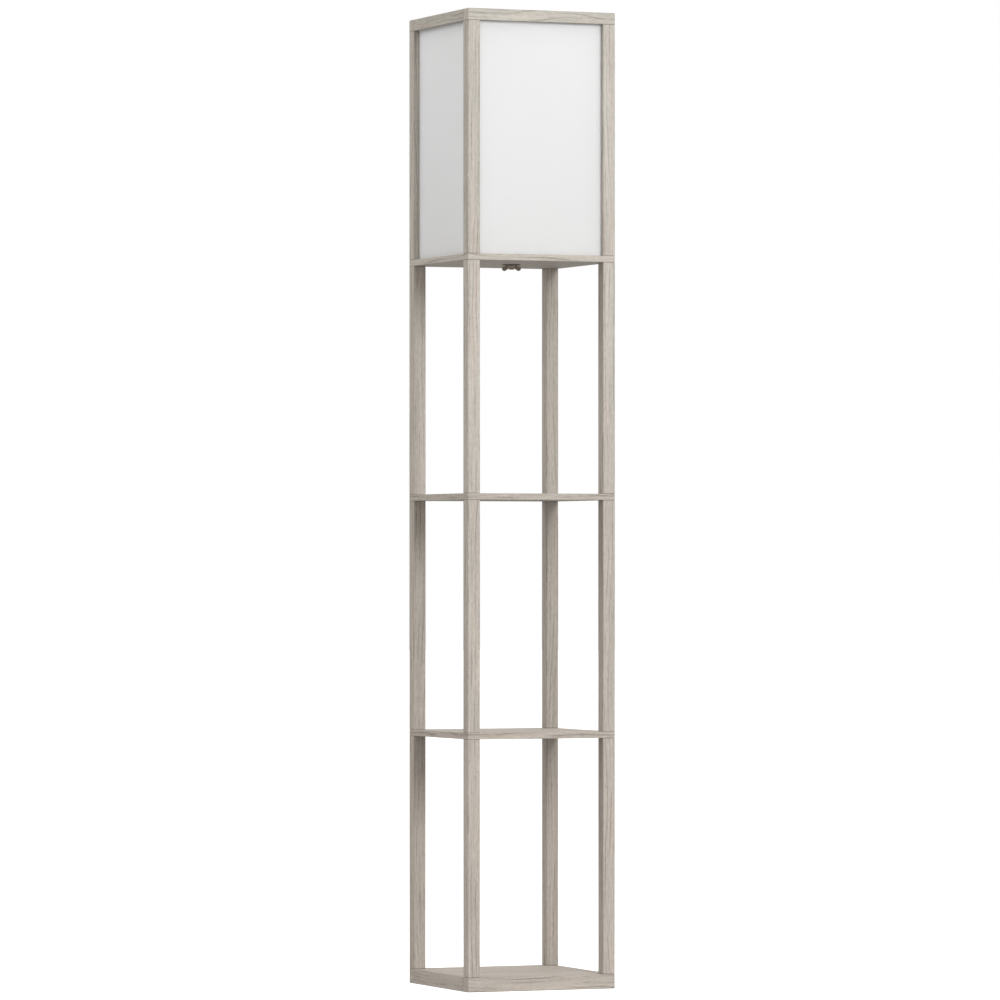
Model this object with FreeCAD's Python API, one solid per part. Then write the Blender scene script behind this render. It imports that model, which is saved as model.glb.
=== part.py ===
import FreeCAD, Part
import math
import os

# Shelf floor lamp: a square tower of wooden posts and boards with a fabric-sided shade on top.
# Millimetres. Origin at the middle of the base's underside, +Z up, the front faces -Y.

# Plan of the tower
WIDTH = 260.0  # left to right, X
DEPTH = 260.0  # front to back, Y
POST = 21.0  # side of the square posts, and breadth of the base and top frames

# Heights of the stack, from the floor up
BASE_HEIGHT = 24.0
LOWER_BAY = 387.0
MIDDLE_BAY = 379.5
UPPER_BAY = 379.5
SHADE_BAY = 379.5
BOARD = 10.5  # thickness of the two shelves and of the lamp board
RAIL_HEIGHT = 19.0  # top frame

# Joinery
ARRIS = 0.6  # bevel that breaks every wooden edge
BASE_PANEL = 6.0  # thickness of the panel let into the base frame
REBATE = 7.0  # how far that panel laps into the frame on each side
PANEL_FIT = 0.2  # gap round the base panel's edge
DOWEL_DIAMETER = 6.0  # level dowels in the corners of both frames
DOWEL_WALL = 1.2  # wood left between a level dowel and the upright hole it points at
DOWEL_REACH = 20.0  # how far a level dowel enters the side member
PIN_DIAMETER = 8.0  # upright dowels between shade posts and top frame
PIN_RISE = 12.0  # how far they enter the top frame
PIN_DROP = 20.0  # how far they enter the post
DOWEL_FIT = 0.1  # gap round any dowel, and at each of its ends

# Threaded joints between posts and boards
STUD_DIAMETER = 6.0
STUD_GRIP = 12.0  # thread engaged below each board, and on each base bolt
STUD_ROOT = 22.0  # length of a stud screwed into the foot of the post above its board
INSERT_DIAMETER = 9.0  # across the corners of the six-sided insert
INSERT_LENGTH = 13.0
THREAD_FIT = 0.1  # radial gap where threads engage
DRILL_SPARE = 1.5  # extra depth of each blind hole
BOLT_CLEARANCE = 0.3  # radial gap of a stud or bolt in its plain hole
COUNTERBORE_DIAMETER = 14.0
COUNTERBORE_DEPTH = 8.0
BOLT_HEAD = 10.0  # across the flats of the hexagon
BOLT_HEAD_HEIGHT = 4.0
BASE_WASHER_DIAMETER = 12.0
BASE_WASHER = 1.2

# Shade panels, each slid into grooves in two posts and a top rail
SHADE_SHEET = 1.2  # thickness of the lined fabric
SHADE_SETBACK = 9.5  # from the posts' outer faces to the fabric
GROOVE_DEPTH = 4.0
GROOVE_FIT = 0.2  # gap on each face of a panel
GROOVE_END_FIT = 0.3  # gap at a panel's edges

# Hollow threaded tube through the lamp board, and the wing nut that clamps it from below
TUBE_DIAMETER = 10.0
TUBE_BORE = 7.0
TUBE_TAIL = 1.5  # length that shows below the wing nut
TUBE_HEAD = 7.5  # length inside the lampholder's cap
TUBE_RUNNING_FIT = 0.06  # radial gap of the nut and washer on the tube
TUBE_HOLE_FIT = 0.4  # radial gap of the tube in the board
NUT_WASHER_DIAMETER = 30.0
NUT_WASHER = 1.5
NUT_HEIGHT = 5.5
NUT_SEAT_DIAMETER = 18.0  # bearing end of the boss
NUT_END_DIAMETER = 14.0  # free end of the boss
NUT_SPAN = 31.5  # over the two wings
NUT_DROP = 9.5  # from the bearing face to the lowest point of the wings
WING_TIP_RADIUS = 4.0
WING_ROOT_RADIUS = 2.4
WING_THICKNESS = 2.6
WING_EDGE = 0.7  # bevel on the wings' edges
WING_TURN = -24.0  # degrees about Z, as the nut was left

# Lampholder
SEAT_WASHER_DIAMETER = 28.0
SEAT_WASHER = 1.5
CAP_DIAMETER = 38.0
CAP_NECK_DIAMETER = 19.0
CAP_NECK_HEIGHT = 6.0
CAP_HEIGHT = 24.0
CAP_WALL = 2.5
CAP_LEDGE = 14.0  # height of the ledge that carries the core, above the seat washer
CORE_HEIGHT = 12.0
CORE_FIT = 0.3  # gap round the core
CORE_SEAT = 2.5  # width of the ledge under it
SLEEVE_WALL = 2.0
SLEEVE_LAP = 7.0  # how far the sleeve comes down over the cap
SLEEVE_FIT = 0.15
SLEEVE_RIM = 1.6  # thickness of the rim that keeps the screw shell in
FLUTES = 12  # finger grooves round the sleeve
FLUTE_RADIUS = 1.1
SCREW_SHELL_WALL = 0.5
SCREW_SHELL_HOLE = 20.0  # hole in its floor, round the centre contact
CONTACT_WIDTH = 6.0
CONTACT_STRIP = 0.5
CONTACT_LENGTH = 15.0
CONTACT_RISE = 3.6
TERMINAL_SIDE = 6.0
TERMINAL_HEIGHT = 7.0
TERMINAL_SPACING = 18.0
TERMINAL_SCREW_DIAMETER = 3.5
TERMINAL_SCREW_HEAD = 1.2
TERMINAL_FIT = 0.1

# Lamp bulb with a 27 mm screw cap
BULB_CONTACT_GAP = 0.3  # between the bulb's tip and the holder's contact
BULB_CAP_DIAMETER = 26.0
BULB_CAP_FIT = 0.4  # radial gap in the holder's screw shell
BULB_CAP_WALL = 0.5
BULB_TIP_DIAMETER = 9.0
BULB_TIP = 1.4
BULB_INSULATOR = 4.0  # height of the glass cone under the cap
BULB_CAP_TOP = 24.0  # height above the bulb's tip
BULB_SHOULDER = 40.0  # depth of the globe, from the bulb's top down to its housing
BULB_LENGTH = 108.0
BULB_DIAMETER = 60.0
GLOBE_WALL = 1.2  # least thickness of the globe
GLOBE_CROWN = 50.0  # degrees above its middle where the cavity's flat top begins
GLOBE_BANDS = 7  # cones that make up the globe's dome
LED_BOARD = 1.5
LED_BOARD_INSET = 0.4  # gap between the board's edge and the globe

# Levels
BASE_TOP = BASE_HEIGHT
LOWER_UNDER = BASE_TOP + LOWER_BAY
LOWER_TOP = LOWER_UNDER + BOARD
MIDDLE_UNDER = LOWER_TOP + MIDDLE_BAY
MIDDLE_TOP = MIDDLE_UNDER + BOARD
LAMP_UNDER = MIDDLE_TOP + UPPER_BAY
LAMP_TOP = LAMP_UNDER + BOARD
RAIL_UNDER = LAMP_TOP + SHADE_BAY
RAIL_TOP = RAIL_UNDER + RAIL_HEIGHT

# Places in plan
HALF_X = WIDTH / 2
HALF_Y = DEPTH / 2
INNER_X = HALF_X - POST  # inner faces of posts and frames
INNER_Y = HALF_Y - POST
AXIS_X = HALF_X - POST / 2  # posts' centre lines
AXIS_Y = HALF_Y - POST / 2

CORNERS = {
    "front_left": (-1, -1),
    "front_right": (1, -1),
    "rear_left": (-1, 1),
    "rear_right": (1, 1),
}
BAYS = {
    "lower": (BASE_TOP, LOWER_UNDER),
    "middle": (LOWER_TOP, MIDDLE_UNDER),
    "upper": (MIDDLE_TOP, LAMP_UNDER),
    "shade": (LAMP_TOP, RAIL_UNDER),
}
BOARDS = {
    "shelf_lower": (LOWER_UNDER, LOWER_TOP),
    "shelf_middle": (MIDDLE_UNDER, MIDDLE_TOP),
    "lamp_board": (LAMP_UNDER, LAMP_TOP),
}
UP = FreeCAD.Vector(0, 0, 1)


def box(x, y, z):
    """Block between a low and a high value on each axis."""
    corner = FreeCAD.Vector(x[0], y[0], z[0])
    return Part.makeBox(x[1] - x[0], y[1] - y[0], z[1] - z[0], corner)


def timber(x, y, z):
    """Squared wood with every edge broken."""
    block = box(x, y, z)
    return block.makeChamfer(ARRIS, block.Edges)


def rod(diameter, z, at=(0.0, 0.0)):
    """Upright cylinder."""
    foot = FreeCAD.Vector(at[0], at[1], z[0])
    return Part.makeCylinder(diameter / 2, z[1] - z[0], foot, UP)


def tube(outer, inner, z, at=(0.0, 0.0)):
    """Upright tube, from its two diameters."""
    return rod(outer, z, at).cut(rod(inner, z, at))


def outline(start, *steps):
    """Closed face in the XZ plane: a step is a point, or a pair of points for an arc through both."""
    place = FreeCAD.Vector(start[0], 0, start[1])
    first = place
    edges = []
    for step in steps:
        if isinstance(step[0], tuple):
            middle = FreeCAD.Vector(step[0][0], 0, step[0][1])
            end = FreeCAD.Vector(step[1][0], 0, step[1][1])
            edges.append(Part.Arc(place, middle, end).toShape())
        else:
            end = FreeCAD.Vector(step[0], 0, step[1])
            edges.append(Part.makeLine(place, end))
        place = end
    if place.distanceToPoint(first) > 1e-6:
        edges.append(Part.makeLine(place, first))
    return Part.Face(Part.Wire(edges))


def turned(start, *steps):
    """Solid of revolution about the Z axis, from half its section as (radius, height)."""
    return outline(start, *steps).revolve(FreeCAD.Vector(0, 0, 0), UP, 360)


def raised(shape, z):
    """The shape lifted by z."""
    lifted = shape.copy()
    lifted.translate(FreeCAD.Vector(0, 0, z))
    return lifted


def posts_at():
    """Each corner's name with its centre line in plan."""
    return {name: (sx * AXIS_X, sy * AXIS_Y) for name, (sx, sy) in CORNERS.items()}


# Threaded hardware

def hexagon(across_corners, z, at=(0.0, 0.0)):
    """Upright six-sided prism."""
    corners = []
    for index in range(7):
        angle = math.radians(60 * index)
        reach = across_corners / 2
        corners.append(FreeCAD.Vector(at[0] + reach * math.cos(angle), at[1] + reach * math.sin(angle), z[0]))
    return Part.Face(Part.makePolygon(corners)).extrude(UP * (z[1] - z[0]))


def insert_nut(at, end, inward):
    """Six-sided threaded insert flush with a post's end; inward is +1 at a foot, -1 at a head."""
    z = sorted((end, end + inward * INSERT_LENGTH))
    return hexagon(INSERT_DIAMETER, z, at).cut(rod(STUD_DIAMETER + 2 * THREAD_FIT, z, at))


def insert_pocket(at, end, inward):
    """Hole for an insert, with spare depth behind it."""
    depth = INSERT_LENGTH + DRILL_SPARE
    return rod(INSERT_DIAMETER + 2 * THREAD_FIT, sorted((end, end + inward * depth)), at)


def base_bolt(at):
    """Hexagon-headed bolt that pulls a lower post down on the base frame."""
    seat = COUNTERBORE_DEPTH - BASE_WASHER
    head = hexagon(BOLT_HEAD / math.cos(math.radians(30)), (seat - BOLT_HEAD_HEIGHT, seat), at)
    return head.fuse(rod(STUD_DIAMETER, (seat, BASE_TOP + STUD_GRIP), at))


# Frames

def frame(z):
    """Four members of a square frame: front and back at full width, the sides butted between them."""
    return {
        "front": timber((-HALF_X, HALF_X), (-HALF_Y, -INNER_Y), z),
        "back": timber((-HALF_X, HALF_X), (INNER_Y, HALF_Y), z),
        "left": timber((-HALF_X, -INNER_X), (-INNER_Y, INNER_Y), z),
        "right": timber((INNER_X, HALF_X), (-INNER_Y, INNER_Y), z),
    }


def level_dowels(z, upright_hole, spare=0.0):
    """Dowels in a frame's four corners, stopped short of the upright hole there.

    spare makes the holes for them: it is added all round and at both ends.
    """
    shallow = (POST - upright_hole) / 2 - DOWEL_WALL
    length = shallow + DOWEL_REACH + 2 * spare
    dowels = []
    for sx, sy in CORNERS.values():
        start = FreeCAD.Vector(sx * AXIS_X, sy * (INNER_Y + shallow + spare), z)
        along = FreeCAD.Vector(0, -sy, 0)
        dowels.append(Part.makeCylinder(DOWEL_DIAMETER / 2 + spare, length, start, along))
    return dowels


def drill(members, tools):
    """Cut the same tools from every member."""
    cutter = Part.makeCompound(tools)
    return {name: member.cut(cutter) for name, member in members.items()}


def base_frame():
    """Base frame with rebates for its panel, bolt holes and dowels, and the panel itself."""
    hole = STUD_DIAMETER + 2 * BOLT_CLEARANCE
    dowel_z = (COUNTERBORE_DEPTH + BASE_TOP) / 2
    panel_x = INNER_X + REBATE
    panel_y = INNER_Y + REBATE
    floor = BASE_TOP - BASE_PANEL
    tools = [box((-panel_x, panel_x), (-panel_y, panel_y), (floor, BASE_TOP))]
    for at in posts_at().values():
        tools.append(rod(hole, (0, BASE_TOP), at))
        tools.append(rod(COUNTERBORE_DIAMETER, (0, COUNTERBORE_DEPTH), at))
    tools += level_dowels(dowel_z, hole, DOWEL_FIT)
    members = drill(frame((0, BASE_TOP)), tools)
    panel = box((PANEL_FIT - panel_x, panel_x - PANEL_FIT), (PANEL_FIT - panel_y, panel_y - PANEL_FIT),
                (floor, BASE_TOP))
    parts = {"base_" + name: member for name, member in members.items()}
    parts["base_panel"] = panel.cut(Part.makeCompound([rod(hole, (floor, BASE_TOP), at)
                                                       for at in posts_at().values()]))
    return parts, level_dowels(dowel_z, hole)


def top_frame():
    """Top frame over the shade, grooved for the panels."""
    hole = PIN_DIAMETER + 2 * DOWEL_FIT
    dowel_z = RAIL_TOP - RAIL_HEIGHT / 2
    tools = [rod(hole, (RAIL_UNDER, RAIL_UNDER + PIN_RISE + DOWEL_FIT), at) for at in posts_at().values()]
    tools += level_dowels(dowel_z, hole, DOWEL_FIT)
    tools += shade_panels(groove=True).values()
    members = drill(frame((RAIL_UNDER, RAIL_TOP)), tools)
    return {"top_rail_" + name: member for name, member in members.items()}, level_dowels(dowel_z, hole)


# Shade

def shade_panels(groove=False):
    """The four lined fabric panels, or the grooves that hold their side and top edges."""
    edge = 0.0 if groove else GROOVE_END_FIT
    face = GROOVE_FIT if groove else 0.0
    half_x = INNER_X + GROOVE_DEPTH - edge
    half_y = INNER_Y + GROOVE_DEPTH - edge
    z = (LAMP_TOP, RAIL_UNDER + GROOVE_DEPTH - edge)
    near = SHADE_SETBACK - face
    far = SHADE_SETBACK + SHADE_SHEET + face
    return {
        "front": box((-half_x, half_x), (near - HALF_Y, far - HALF_Y), z),
        "back": box((-half_x, half_x), (HALF_Y - far, HALF_Y - near), z),
        "left": box((near - HALF_X, far - HALF_X), (-half_y, half_y), z),
        "right": box((HALF_X - far, HALF_X - near), (-half_y, half_y), z),
    }


# Posts and boards

def post(bay, corner):
    """One length of post, drilled at both ends, and grooved if it stands beside the shade."""
    sx, sy = CORNERS[corner]
    foot, head = BAYS[bay]
    at = (sx * AXIS_X, sy * AXIS_Y)
    body = timber(sorted((sx * INNER_X, sx * HALF_X)), sorted((sy * INNER_Y, sy * HALF_Y)), (foot, head))
    if bay == "lower":
        tools = [insert_pocket(at, foot, 1)]
    else:
        root_hole = (foot, foot + STUD_ROOT + DRILL_SPARE)
        tools = [rod(STUD_DIAMETER + 2 * THREAD_FIT, root_hole, at)]
    if bay == "shade":
        tools.append(rod(PIN_DIAMETER + 2 * DOWEL_FIT, (head - PIN_DROP - DOWEL_FIT, head), at))
        tools += shade_panels(groove=True).values()
    else:
        tools.append(insert_pocket(at, head, -1))
    return body.cut(Part.makeCompound(tools))


def board(z, centre_hole=0.0):
    """Square board the full size of the tower, with a stud hole in each corner."""
    plank = timber((-HALF_X, HALF_X), (-HALF_Y, HALF_Y), z)
    holes = [rod(STUD_DIAMETER + 2 * BOLT_CLEARANCE, z, at) for at in posts_at().values()]
    if centre_hole:
        holes.append(rod(centre_hole, z))
    return plank.cut(Part.makeCompound(holes))


def fixings():
    """Studs, inserts, bolts, washers and pins, each kind as one group."""
    studs, inserts, bolts, washers, pins = [], [], [], [], []
    seat = COUNTERBORE_DEPTH - BASE_WASHER
    for at in posts_at().values():
        bolts.append(base_bolt(at))
        washers.append(tube(BASE_WASHER_DIAMETER, STUD_DIAMETER + 2 * BOLT_CLEARANCE,
                            (seat, COUNTERBORE_DEPTH), at))
        pins.append(rod(PIN_DIAMETER, (RAIL_UNDER - PIN_DROP, RAIL_UNDER + PIN_RISE), at))
        for under, top in BOARDS.values():
            studs.append(rod(STUD_DIAMETER, (under - STUD_GRIP, top + STUD_ROOT), at))
            inserts.append(insert_nut(at, under, -1))
        inserts.append(insert_nut(at, BASE_TOP, 1))
    return {"board_studs": studs, "post_inserts": inserts, "base_bolts": bolts,
            "base_washers": washers, "rail_pins": pins}


# Tube and wing nut under the lamp board

def tapered_link(start, start_radius, end, end_radius):
    """Face in the XZ plane round two circles, joined by their common tangents."""
    run = math.hypot(end[0] - start[0], end[1] - start[1])
    heading = math.atan2(end[1] - start[1], end[0] - start[0])
    spread = math.acos((start_radius - end_radius) / run)

    def on(centre, radius, angle):
        return centre[0] + radius * math.cos(angle), centre[1] + radius * math.sin(angle)

    upper, lower = heading + spread, heading - spread
    return outline(on(start, start_radius, upper), on(end, end_radius, upper),
                   (on(end, end_radius, heading), on(end, end_radius, lower)),
                   on(start, start_radius, lower),
                   (on(start, start_radius, heading + math.pi), on(start, start_radius, upper)))


def wing_nut():
    """Cast wing nut, its bearing face up and its wings sloping down and outwards."""
    seat = LAMP_UNDER - NUT_WASHER
    bore = TUBE_DIAMETER / 2 + TUBE_RUNNING_FIT
    end_radius = NUT_END_DIAMETER / 2
    boss = turned((0, 0), (NUT_SEAT_DIAMETER / 2, 0), (NUT_SEAT_DIAMETER / 2, -NUT_HEIGHT * 0.2),
                  (end_radius, -NUT_HEIGHT + 0.6), (end_radius - 0.6, -NUT_HEIGHT), (0, -NUT_HEIGHT))
    root = (end_radius - WING_ROOT_RADIUS / 2, -NUT_HEIGHT * 0.45)
    tip = (NUT_SPAN / 2 - WING_TIP_RADIUS, WING_TIP_RADIUS - NUT_DROP)
    blade = tapered_link(root, WING_ROOT_RADIUS, tip, WING_TIP_RADIUS)
    blade.translate(FreeCAD.Vector(0, -WING_THICKNESS / 2, 0))
    wing = blade.extrude(FreeCAD.Vector(0, WING_THICKNESS, 0))
    rims = [edge for face in wing.Faces if face.Surface.TypeId == "Part::GeomPlane"
            and abs(face.normalAt(0, 0).y) > 0.9 for edge in face.Edges]
    wing = wing.makeChamfer(WING_EDGE, rims)
    other = wing.copy()
    other.rotate(FreeCAD.Vector(0, 0, 0), UP, 180)
    nut = boss.multiFuse([wing, other]).cut(rod(2 * bore, (-NUT_DROP - 1, 1)))
    nut.rotate(FreeCAD.Vector(0, 0, 0), UP, WING_TURN)
    return raised(nut, seat)


def clamp_parts():
    """Tube through the lamp board with its two washers and the wing nut."""
    running = TUBE_DIAMETER + 2 * TUBE_RUNNING_FIT
    foot = LAMP_UNDER - NUT_WASHER - NUT_HEIGHT - TUBE_TAIL
    head = LAMP_TOP + SEAT_WASHER + TUBE_HEAD
    return {
        "threaded_tube": tube(TUBE_DIAMETER, TUBE_BORE, (foot, head)),
        "seat_washer": tube(SEAT_WASHER_DIAMETER, running, (LAMP_TOP, LAMP_TOP + SEAT_WASHER)),
        "nut_washer": tube(NUT_WASHER_DIAMETER, running, (LAMP_UNDER - NUT_WASHER, LAMP_UNDER)),
        "wing_nut": wing_nut(),
    }


# Lampholder, in heights above the seat washer

CORE_TOP = CAP_LEDGE + CORE_HEIGHT
CONTACT_TOP = CORE_TOP + CONTACT_RISE + CONTACT_STRIP
BULB_TIP_Z = CONTACT_TOP + BULB_CONTACT_GAP
SLEEVE_TOP = BULB_TIP_Z + BULB_CAP_TOP - 0.5
SHELL_RADIUS = BULB_CAP_DIAMETER / 2 + BULB_CAP_FIT  # inside of the holder's screw shell
CAP_BORE = CAP_DIAMETER / 2 - CAP_WALL
CORE_RADIUS = CAP_BORE - CORE_FIT


def holder_cap():
    """Funnel-shaped cap screwed on the tube, with a ledge inside for the core."""
    outer = CAP_DIAMETER / 2
    neck = CAP_NECK_DIAMETER / 2
    bore = TUBE_DIAMETER / 2 + TUBE_RUNNING_FIT
    ledge_radius = CORE_RADIUS - CORE_SEAT
    return turned((bore, 0), (neck, 0), (neck, CAP_NECK_HEIGHT), (outer, CAP_LEDGE - 1.0),
                  (outer, CAP_HEIGHT - SLEEVE_LAP), (outer - 1.0, CAP_HEIGHT - SLEEVE_LAP),
                  (outer - 1.0, CAP_HEIGHT), (CAP_BORE, CAP_HEIGHT), (CAP_BORE, CAP_LEDGE),
                  (ledge_radius, CAP_LEDGE), (neck - 1.0, TUBE_HEAD + 0.5), (bore, TUBE_HEAD + 0.5))


def holder_sleeve():
    """Fluted outer sleeve; its rim keeps the screw shell in place."""
    low = CAP_HEIGHT - SLEEVE_LAP
    lap_radius = CAP_DIAMETER / 2 - 1.0 + SLEEVE_FIT
    outer = lap_radius + SLEEVE_WALL
    rim = SHELL_RADIUS + SCREW_SHELL_WALL
    sleeve = turned((lap_radius, low), (outer, low), (outer, SLEEVE_TOP - 1.2), (outer - 1.2, SLEEVE_TOP),
                    (rim, SLEEVE_TOP),
                    (rim, SLEEVE_TOP - SLEEVE_RIM), (CAP_BORE, SLEEVE_TOP - SLEEVE_RIM),
                    (CAP_BORE, CAP_HEIGHT + SLEEVE_FIT), (lap_radius, CAP_HEIGHT + SLEEVE_FIT))
    flutes = []
    for index in range(FLUTES):
        angle = math.radians(360 / FLUTES * (index + 0.5))
        at = ((outer + FLUTE_RADIUS * 0.45) * math.cos(angle), (outer + FLUTE_RADIUS * 0.45) * math.sin(angle))
        flutes.append(rod(2 * FLUTE_RADIUS, (low + 3.0, SLEEVE_TOP - 6.0), at))
    return sleeve.cut(Part.makeCompound(flutes))


def terminal_pockets(spare):
    """Blocks of the two terminals, or with spare added, the pockets for them."""
    half = TERMINAL_SIDE / 2 + spare
    z = (CAP_LEDGE + 1.0 - spare, CAP_LEDGE + 1.0 + TERMINAL_HEIGHT + spare)
    return [box((-half, half), (side * TERMINAL_SPACING / 2 - half, side * TERMINAL_SPACING / 2 + half), z)
            for side in (-1, 1)]


def holder_core():
    """Ceramic core with pockets for the terminals, open below for the wires."""
    body = turned((0, CAP_LEDGE), (CORE_RADIUS, CAP_LEDGE), (CORE_RADIUS, CORE_TOP - 1.0),
                  (CORE_RADIUS - 1.0, CORE_TOP), (0, CORE_TOP))
    half = TERMINAL_SIDE / 2 + TERMINAL_FIT
    ways = [box((-half, half), (side * TERMINAL_SPACING / 2 - half, side * TERMINAL_SPACING / 2 + half),
                (CAP_LEDGE, CAP_LEDGE + 1.0)) for side in (-1, 1)]
    return body.cut(Part.makeCompound(terminal_pockets(TERMINAL_FIT) + ways))


def holder_terminals():
    """Two brass terminal blocks with their clamping screws."""
    blocks = []
    for side, block in zip((-1, 1), terminal_pockets(0.0)):
        at = (0.0, side * TERMINAL_SPACING / 2)
        bottom = CAP_LEDGE + 1.0
        screw = rod(TERMINAL_SCREW_DIAMETER, (bottom - TERMINAL_SCREW_HEAD, bottom), at)
        blocks.append(block.fuse(screw).removeSplitter())
    return blocks


def screw_shell():
    """Plain-walled metal shell for the bulb's cap, with a holed floor on the core."""
    outer = SHELL_RADIUS + SCREW_SHELL_WALL
    top = SLEEVE_TOP - SLEEVE_RIM
    return turned((SCREW_SHELL_HOLE / 2, CORE_TOP), (outer, CORE_TOP), (outer, top), (SHELL_RADIUS, top),
                  (SHELL_RADIUS, CORE_TOP + SCREW_SHELL_WALL), (SCREW_SHELL_HOLE / 2, CORE_TOP + SCREW_SHELL_WALL))


def centre_contact():
    """Bent brass strip: a foot on the core, and a raised tongue under the bulb's tip."""
    half = CONTACT_LENGTH / 2
    low, high = CORE_TOP, CORE_TOP + CONTACT_RISE
    foot_end = -half + CONTACT_LENGTH * 0.3
    tongue = -half + CONTACT_LENGTH * 0.5
    strip = outline((-half, low), (foot_end, low), (tongue, high), (half, high), (half, high + CONTACT_STRIP),
                    (tongue - CONTACT_STRIP, high + CONTACT_STRIP), (foot_end - CONTACT_STRIP, low + CONTACT_STRIP),
                    (-half, low + CONTACT_STRIP))
    strip.translate(FreeCAD.Vector(0, -CONTACT_WIDTH / 2, 0))
    return strip.extrude(FreeCAD.Vector(0, CONTACT_WIDTH, 0))


# Bulb, in heights above its tip

def bulb_parts():
    """Screw-cap bulb: tip, insulator, cap, housing, light board and globe."""
    cap = BULB_CAP_DIAMETER / 2
    inside = cap - BULB_CAP_WALL
    tip = BULB_TIP_DIAMETER / 2
    cap_foot = BULB_TIP + BULB_INSULATOR
    globe = BULB_DIAMETER / 2
    centre = BULB_LENGTH - globe
    seat = BULB_LENGTH - BULB_SHOULDER
    rim = math.sqrt(globe ** 2 - (centre - seat) ** 2)
    hollow = globe - GLOBE_WALL
    hollow_rim = math.sqrt(hollow ** 2 - (centre - seat) ** 2)
    board_radius = hollow_rim - LED_BOARD_INSET
    collar = cap + 1.0
    collar_top = BULB_CAP_TOP + 3.5
    housing = turned((0, cap_foot), (inside, cap_foot), (inside, BULB_CAP_TOP), (collar, BULB_CAP_TOP),
                     (collar, collar_top), (rim, seat), (board_radius, seat),
                     (board_radius, seat - LED_BOARD), (0, seat - LED_BOARD))
    shoulder = math.asin((seat - centre) / globe)
    bands = []
    for index in range(1, GLOBE_BANDS):
        angle = shoulder + (math.pi / 2 - shoulder) * index / GLOBE_BANDS
        bands.append((globe * math.cos(angle), centre + globe * math.sin(angle)))
    crown = math.radians(GLOBE_CROWN)
    dome = turned((rim, seat), *bands, (0, centre + globe), (0, centre + hollow * math.sin(crown)),
                  (hollow * math.cos(crown), centre + hollow * math.sin(crown)),
                  (hollow_rim, seat))
    parts = {
        "bulb_tip": turned((0, 0), (tip - 0.8, 0), (tip, 0.8), (tip, BULB_TIP), (0, BULB_TIP)),
        "bulb_insulator": turned((0, BULB_TIP), (tip + 1.0, BULB_TIP), (inside - 1.5, cap_foot), (0, cap_foot)),
        "bulb_cap": turned((inside, cap_foot), (cap, cap_foot + 0.8), (cap, BULB_CAP_TOP), (inside, BULB_CAP_TOP)),
        "bulb_housing": housing,
        "bulb_light_board": rod(2 * board_radius - 0.2, (seat - LED_BOARD, seat)),
        "bulb_globe": dome,
    }
    return parts


def build():
    """Every piece of the lamp by name; a group is a list of equal solids."""
    pieces, base_dowels = base_frame()
    rails, rail_dowels = top_frame()
    pieces.update(rails)
    for corner in CORNERS:
        for bay in BAYS:
            pieces["post_" + corner + "_" + bay] = post(bay, corner)
    for name, z in BOARDS.items():
        centre_hole = TUBE_DIAMETER + 2 * TUBE_HOLE_FIT if name == "lamp_board" else 0.0
        pieces[name] = board(z, centre_hole)
    pieces.update(fixings())
    pieces["frame_dowels"] = base_dowels
    pieces["rail_dowels"] = rail_dowels
    for name, panel in shade_panels().items():
        pieces["shade_panel_" + name] = panel
    pieces.update(clamp_parts())
    seat = LAMP_TOP + SEAT_WASHER
    pieces["holder_cap"] = raised(holder_cap(), seat)
    pieces["holder_sleeve"] = raised(holder_sleeve(), seat)
    pieces["holder_core"] = raised(holder_core(), seat)
    pieces["holder_terminals"] = [raised(block, seat) for block in holder_terminals()]
    pieces["holder_screw_shell"] = raised(screw_shell(), seat)
    pieces["holder_contact"] = raised(centre_contact(), seat)
    for name, piece in bulb_parts().items():
        pieces[name] = raised(piece, seat + BULB_TIP_Z)
    return pieces


os.makedirs("parts", exist_ok=True)
for node, piece in build().items():
    shape = Part.makeCompound(piece) if isinstance(piece, list) else piece
    shape.exportStep("parts/" + node + ".step")
    print(node, len(shape.Solids), "solid(s)", "valid" if shape.isValid() else "NOT VALID", round(shape.Volume))
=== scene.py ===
"""Looks of the shelf floor lamp: laminated timber tower, fabric shade, wing nut, lampholder and bulb."""

import logging
import math
from collections.abc import Callable
from dataclasses import dataclass
from enum import Enum

import bmesh
import bpy
from bpy.types import Material, Node, NodeSocket, NodeTree, Object
from mathutils import Matrix, Vector


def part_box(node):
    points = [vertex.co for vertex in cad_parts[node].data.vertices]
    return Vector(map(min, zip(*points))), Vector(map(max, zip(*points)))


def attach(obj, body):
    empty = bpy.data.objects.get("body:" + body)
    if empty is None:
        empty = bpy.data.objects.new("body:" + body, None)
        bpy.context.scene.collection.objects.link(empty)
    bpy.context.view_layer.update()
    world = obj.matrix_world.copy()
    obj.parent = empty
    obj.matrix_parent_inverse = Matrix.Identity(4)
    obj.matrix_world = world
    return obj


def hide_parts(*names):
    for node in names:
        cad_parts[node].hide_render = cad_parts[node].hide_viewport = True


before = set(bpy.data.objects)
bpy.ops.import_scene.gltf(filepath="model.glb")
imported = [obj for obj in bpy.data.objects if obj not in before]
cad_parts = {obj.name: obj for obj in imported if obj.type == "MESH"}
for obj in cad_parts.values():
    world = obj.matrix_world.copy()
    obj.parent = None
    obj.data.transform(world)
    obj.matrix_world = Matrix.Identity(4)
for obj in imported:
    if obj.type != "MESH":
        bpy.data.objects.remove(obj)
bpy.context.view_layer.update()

LOG = logging.getLogger("shelf_floor_lamp")
MM = 0.001
TURN = 2.0 * math.pi
ON_AXIS = 1e-7

Colour = tuple[float, float, float]
Pair = tuple[float, float]


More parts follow.
